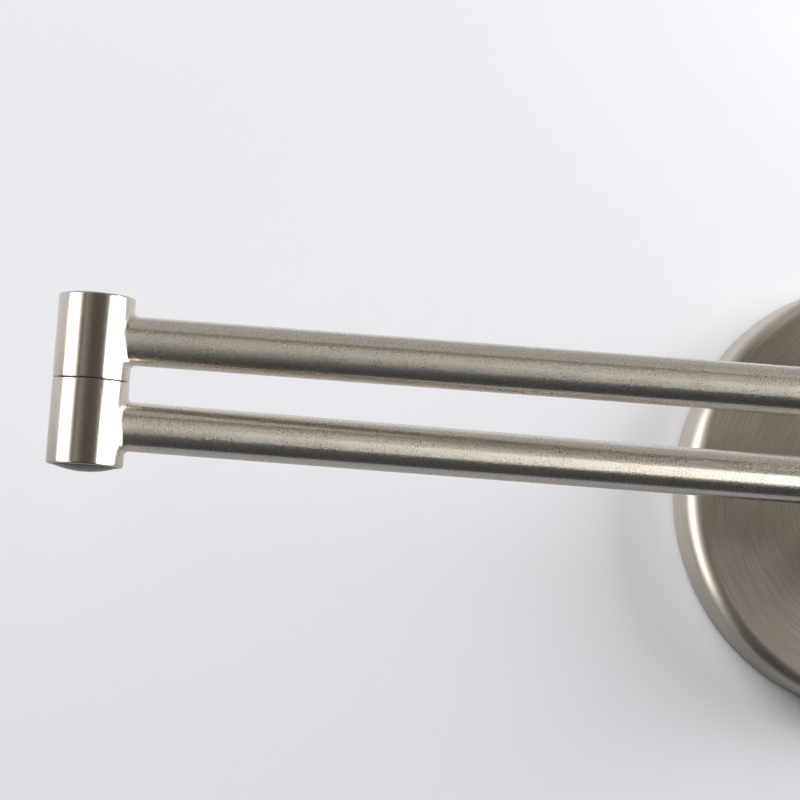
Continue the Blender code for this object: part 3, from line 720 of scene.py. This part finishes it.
def yoke():
    route = []
    count = 96
    short = math.radians(2.4)
    for i in range(count + 1):
        angle = math.pi + short + (math.pi - 2 * short) * i / count
        out = Vector((math.cos(angle), 0, math.sin(angle)))
        route.append((out * YOKE_R, out))
    rod = swept("yoke_rod_fine", route, YOKE_ROD_R, head_frame())
    dress(rod, rod_nickel, "yoke", "satin_nickel", "yoke")
    for side, sign in (("left", -1), ("right", 1)):
        inner = YOKE_R - EYE_HALF
        outer = YOKE_R + EYE_HALF
        edge = 0.0010
        outline = [(PIVOT_HOLE_R, outer)]
        outline += arc((EYE_R - edge, outer - edge), edge, 90, 0, 5)
        outline += arc((EYE_R - edge, inner + edge), edge, 0, -90, 5)
        outline += [(PIVOT_HOLE_R, inner)]
        eye = lathe(f"yoke_eye_{side}", outline, along(mirror_at, flip_axis * sign), SMALL)
        dress(eye, barrel_nickel, "yoke", "satin_nickel")


def knobs():
    for side, sign in (("left", -1), ("right", 1)):
        node = f"pivot_knob_{side}"
        low = YOKE_R + EYE_HALF + GAP
        radius = 0.0058
        top = low + 0.0067
        crown = 0.0018

        def fluted(r, h, angle, low=low, top=top, radius=radius, crown=crown):
            grip = r > radius - 0.0001 and low + 0.0021 < h < top - crown + 0.0001
            return r - (KNOB_FLUTE_DEPTH * (1 + math.cos(KNOB_FLUTES * angle)) if grip else 0)

        outline = [(0, top), (radius - crown - 0.0004, top)]
        outline += arc((radius - crown, top - crown), crown, 78, 8, 7)
        outline += [
            (radius, top - crown),
            (radius, low + 0.0022),
            (radius - 0.0003, low + 0.0020),
            (radius - 0.0006, low + 0.0018),
            (radius - 0.0006, low + 0.0010),
            (radius - 0.0002, low + 0.0007),
            (radius, low + 0.0005),
            (radius, low + 0.0002),
            (radius - 0.0002, low),
            (PIVOT_STUD_R, low),
            (PIVOT_STUD_R, 0.0863),
            (0, 0.0863),
        ]
        matrix = along(mirror_at, flip_axis * sign)
        knob = lathe(node + "_fine", outline, matrix, KNOB_FLUTES * 8, fluted)
        dress(knob, barrel_nickel, "mirror", "satin_nickel", node)


def mirror():
    low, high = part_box("mirror_rim")
    radius = (high.z - low.z) / 2
    half = 0.008
    inside = half - RIM_LIP
    wall_r = radius - RIM_WALL
    centre_r = radius - RIM_ROUND
    roll = 0.0005
    outline = [(RIM_LIP_R + roll, half)]
    outline += arc((centre_r, half - RIM_ROUND), RIM_ROUND, 90, 0, 12)
    outline += arc((centre_r, -half + RIM_ROUND), RIM_ROUND, 0, -90, 12)
    outline += [(RIM_LIP_R + roll, -half)]
    outline += arc((RIM_LIP_R + roll, -half + roll), roll, -120, -180, 3)
    outline += [(RIM_LIP_R, -inside), (wall_r, -inside), (wall_r, inside), (RIM_LIP_R, inside)]
    outline += arc((RIM_LIP_R + roll, half - roll), roll, 180, 120, 3)
    frame_out = along(mirror_at, mirror_front)
    rim = lathe("mirror_rim_fine", outline, frame_out, VERY_FINE)
    dress(rim, rim_nickel, "mirror", "satin_nickel", "mirror_rim")

    glass_r = 0.089
    face = inside - GAP
    edge = 0.0004
    flat = [
        (0, face),
        (glass_r - edge, face),
        (glass_r, face - edge),
        (glass_r, face - 0.0025),
        (0, face - 0.0025),
    ]
    glass = lathe("front_glass_fine", flat, frame_out, VERY_FINE, sharp=20)
    dress(glass, silver, "mirror", "mirror_glass", "front_glass")

    sag = 0.0032
    sheet = 0.002
    dish_r = (glass_r**2 + sag**2) / (2 * sag)
    half_angle = math.degrees(math.asin(glass_r / dish_r))
    centre = (0, -face + sag - dish_r)
    back = arc(centre, dish_r + sheet, 90, 90 - half_angle, 24)[:-1]
    front = arc(centre, dish_r, 90 - half_angle, 90, 24)
    back[0] = (0, back[0][1])
    front[-1] = (0, front[-1][1])
    dish = lathe("magnifying_glass_fine", back + [(glass_r, -face + sheet)] + front, frame_out, VERY_FINE)
    dress(dish, silver, "mirror", "mirror_glass", "magnifying_glass")


def keep_cad_nodes():
    """The small and hidden pieces keep their CAD meshes, with broken edges and a finish."""
    kept = {
        "mounting_bracket": (zinc, 0.0004),
        "cover_grub_screw": (zinc, 0.00015),
        "wall_clevis": (rod_nickel, 0.0005),
        "wall_hinge_bolt": (zinc, 0.00015),
        "wall_hinge_nut": (rod_nickel, 0.0003),
        "wall_hinge_bush_upper": (nylon, 0.00015),
        "wall_hinge_bush_lower": (nylon, 0.00015),
        "elbow_bolt": (zinc, 0.00025),
        "elbow_nut": (zinc, 0.0003),
        "elbow_flat_washer": (zinc, 0.00015),
        "elbow_spring_washer": (zinc, 0.0001),
        "elbow_friction_washer": (black_plastic, 0.0001),
        "head_bush": (nylon, 0.00015),
        "swivel_nut": (zinc, 0.0003),
        "swivel_spring_washer": (zinc, 0.0001),
        "pivot_washer_left": (nylon, 0.00015),
        "pivot_washer_right": (nylon, 0.00015),
        "backing_board": (board, 0.0003),
        "pivot_block_left": (zinc, 0.0002),
        "pivot_block_right": (zinc, 0.0002),
    }
    for node, (material, width) in kept.items():
        thing = frame["nodes"][node]
        thing.data.materials.clear()
        thing.data.materials.append(material)
        weld = thing.modifiers.new("weld", "WELD")
        weld.merge_threshold = 0.000002
        bevel = thing.modifiers.new("edges", "BEVEL")
        bevel.width = width
        bevel.segments = 3
        bevel.limit_method = "ANGLE"
        bevel.angle_limit = math.radians(40)
        bevel.harden_normals = False
        thing.data.shade_smooth()
        thing.data.set_sharp_from_angle(angle=math.radians(40))


# ------------------------------------------------------------------ stage


def card(name, size, matrix, material):
    """A flat square, seen from its Z side."""
    half = size / 2
    corners = [(-half, -half, 0), (half, -half, 0), (half, half, 0), (-half, half, 0)]
    thing = as_object(name, corners, [(0, 1, 2, 3)], matrix)
    thing.data.materials.append(material)
    return thing


def stage():
    """A white wall just behind the wall plate and a pale floor below it."""
    behind = Matrix.Translation((0, 0.0004, FLOOR_Z + 3)) @ Matrix.Rotation(math.pi / 2, 4, "X")
    wall = card("wall", 6.0, behind, painted_wall("wall_paint"))
    floor = card("floor", 6.0, Matrix.Translation((0, -3, FLOOR_Z)), pale_floor("floor_paint"))
    floor.visible_glossy = False
    floor.visible_diffuse = False
    return wall, floor


def glowing(name, radiance, fades=()):
    """A glow on the side that faces the object. Each fade is an axis of the panel, where it starts
    and ends along that axis, and the share of light left at its start."""
    material = bpy.data.materials.new(name)
    material.use_nodes = True
    nodes = Nodes(material.node_tree)
    glow = nodes.add("ShaderNodeEmission")
    glow.inputs["Color"].default_value = rgb(1.0, 0.99, 0.97)
    place = nodes.add("ShaderNodeTexCoord").outputs["Object"]
    split = nodes.add("ShaderNodeSeparateXYZ")
    nodes.link(place, split.inputs[0])
    back = nodes.add("ShaderNodeNewGeometry").outputs["Backfacing"]
    strength = nodes.math("MULTIPLY", nodes.math("SUBTRACT", 1.0, back), radiance)
    for axis, start, end, share in fades:
        fade = nodes.spread(split.outputs[axis], start, end, share, 1.0, True)
        strength = nodes.math("MULTIPLY", strength, fade)
    nodes.link(strength, glow.inputs["Strength"])
    output = nodes.add("ShaderNodeOutputMaterial")
    nodes.link(glow.outputs[0], output.inputs["Surface"])
    return material


def panel(name, at, towards, width, height, material, receivers, blockers=None):
    """A glowing panel that lights only the receivers. Its X runs to the left as seen from the front."""
    look = (Vector(towards) - Vector(at)).normalized()
    across = Vector((0, 0, 1)).cross(look).normalized()
    up = look.cross(across)
    turn = Matrix((across, up, look)).transposed().to_4x4()
    half_w, half_h = width / 2, height / 2
    mesh = bpy.data.meshes.new(name)
    corners = [(-half_w, -half_h, 0), (half_w, -half_h, 0), (half_w, half_h, 0), (-half_w, half_h, 0)]
    mesh.from_pydata(corners, [], [(0, 1, 2, 3)])
    mesh.materials.append(material)
    thing = bpy.data.objects.new(name, mesh)
    bpy.context.scene.collection.objects.link(thing)
    thing.matrix_world = Matrix.Translation(at) @ turn
    thing.visible_camera = False
    thing.visible_shadow = False
    thing.light_linking.receiver_collection = receivers
    if blockers:
        thing.light_linking.blocker_collection = blockers
    return thing


def group(name, things):
    collection = bpy.data.collections.new(name)
    for thing in things:
        collection.objects.link(thing)
    return collection


def lights(wall, floor):
    """Two tall panels for the metal, a softer one for the wall plate, and two for the wall and the floor.
    The right panel leaves the plate out. Only the plate shades the left panel, and the arms don't shade
    the wall, as under a wide tent of light."""
    own = [o for o in bpy.data.objects if o.type == "MESH" and o not in (wall, floor)]
    plate = bpy.data.objects["wall_plate_cover_fine"]
    pieces = group("lit_pieces", own)
    not_plate = group("lit_pieces_but_plate", [o for o in own if o != plate])
    plate_only = group("lit_plate", [plate])
    room = group("lit_room", [wall, floor])
    on_wall = group("on_wall", [o for o in own if o.get("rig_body") == "wall_mount"])
    elbow = Vector((elbow_low.x, elbow_low.y, 0))
    right_at = elbow + Vector((4.12, -1.72, 0.375))
    right_aim = elbow + Vector((0, 0, 0.375))
    panel("right_panel", right_at, right_aim, 5.1, 5.75, glowing("right_glow", 13.5), not_plate)
    left_at = elbow + Vector((-2.2, -1.05, -1.0))
    left_aim = elbow + Vector((0, 0, -1.0))
    left_glow = glowing("left_glow", 3.6, (("X", -0.9, -0.1, 0.03), ("Y", -1.5, -0.4, 0.15)))
    panel("left_panel", left_at, left_aim, 2.6, 5.2, left_glow, pieces, plate_only)
    high_right = Vector((2.4, -2.6, 2.0))
    panel("plate_panel", high_right, (0, 0, 0), 2.6, 3.0, glowing("plate_glow", 2.0), plate_only)
    spot = Vector((-0.10, 0, 0.05))
    for name, at, size, radiance in (
        ("wall_light_right", (2.3, -1.0, 1.2), 2.0, 7.1),
        ("wall_light_left", (-1.2, -1.5, 1.2), 1.5, 6.0),
    ):
        glow = glowing(name + "_glow", radiance)
        panel(name, at, spot, size, size, glow, room, on_wall).visible_glossy = False


def world():
    """A dim room: a dull ceiling, a dark floor, and a soft glow on the left. The camera sees it pale."""
    sky = bpy.data.worlds.new("studio")
    bpy.context.scene.world = sky
    sky.use_nodes = True
    nodes = Nodes(sky.node_tree)
    way = nodes.add("ShaderNodeTexCoord").outputs["Generated"]
    split = nodes.add("ShaderNodeSeparateXYZ")
    nodes.link(way, split.inputs[0])
    x, y, z = split.outputs
    pitch = nodes.math("ARCTAN2", z, nodes.math("MULTIPLY", y, -1.0))
    degrees = math.radians
    ceiling = nodes.spread(pitch, degrees(50), degrees(60), smooth=True)
    below = nodes.spread(pitch, degrees(-42), degrees(-20), 1.0, 0.0)
    left = nodes.spread(x, -0.75, -0.10, 1.0, 0.0, smooth=True)
    room = nodes.mix(left, rgb(0.11, 0.095, 0.088), rgb(0.40, 0.39, 0.35))
    low = nodes.mix(below, room, rgb(0.055, 0.058, 0.058))
    lit = nodes.mix(ceiling, low, rgb(0.47, 0.44, 0.42))
    seen = nodes.add("ShaderNodeLightPath").outputs["Is Camera Ray"]
    shown = nodes.mix(seen, lit, rgb(0.80, 0.80, 0.83))
    background = nodes.add("ShaderNodeBackground")
    nodes.link(shown, background.inputs["Color"])
    output = nodes.add("ShaderNodeOutputWorld")
    nodes.link(background.outputs[0], output.inputs["Surface"])


def camera():
    """A long lens a little over half a metre from the elbow, below it and looking slightly up and right."""
    at = Vector((-0.23388, -0.56293, -0.03340))
    turn_right = math.radians(9.684)
    look_up = math.radians(4.976)
    roll = math.radians(3.901)
    lens = bpy.data.cameras.new("camera")
    lens.lens = 95.16
    lens.sensor_width = 36.0
    lens.clip_start = 0.01
    lens.clip_end = 20.0
    holder = bpy.data.objects.new("camera", lens)
    bpy.context.scene.collection.objects.link(holder)
    ahead = Vector(
        (
            math.sin(turn_right) * math.cos(look_up),
            math.cos(turn_right) * math.cos(look_up),
            math.sin(look_up),
        )
    )
    right = Vector((math.cos(turn_right), -math.sin(turn_right), 0))
    up = right.cross(ahead)
    rolled_right = right * math.cos(roll) + up * math.sin(roll)
    rolled_up = up * math.cos(roll) - right * math.sin(roll)
    turn = Matrix((rolled_right, rolled_up, -ahead)).transposed().to_4x4()
    holder.matrix_world = Matrix.Translation(at) @ turn
    bpy.context.scene.camera = holder


camera()
elbow_barrels()
head_barrel()
wall_barrel()
end_caps()
arms()
wall_plate()
collar()
stem()
yoke()
knobs()
mirror()
keep_cad_nodes()
wall, floor = stage()
lights(wall, floor)
world()

bpy.context.scene.view_settings.view_transform = "Standard"
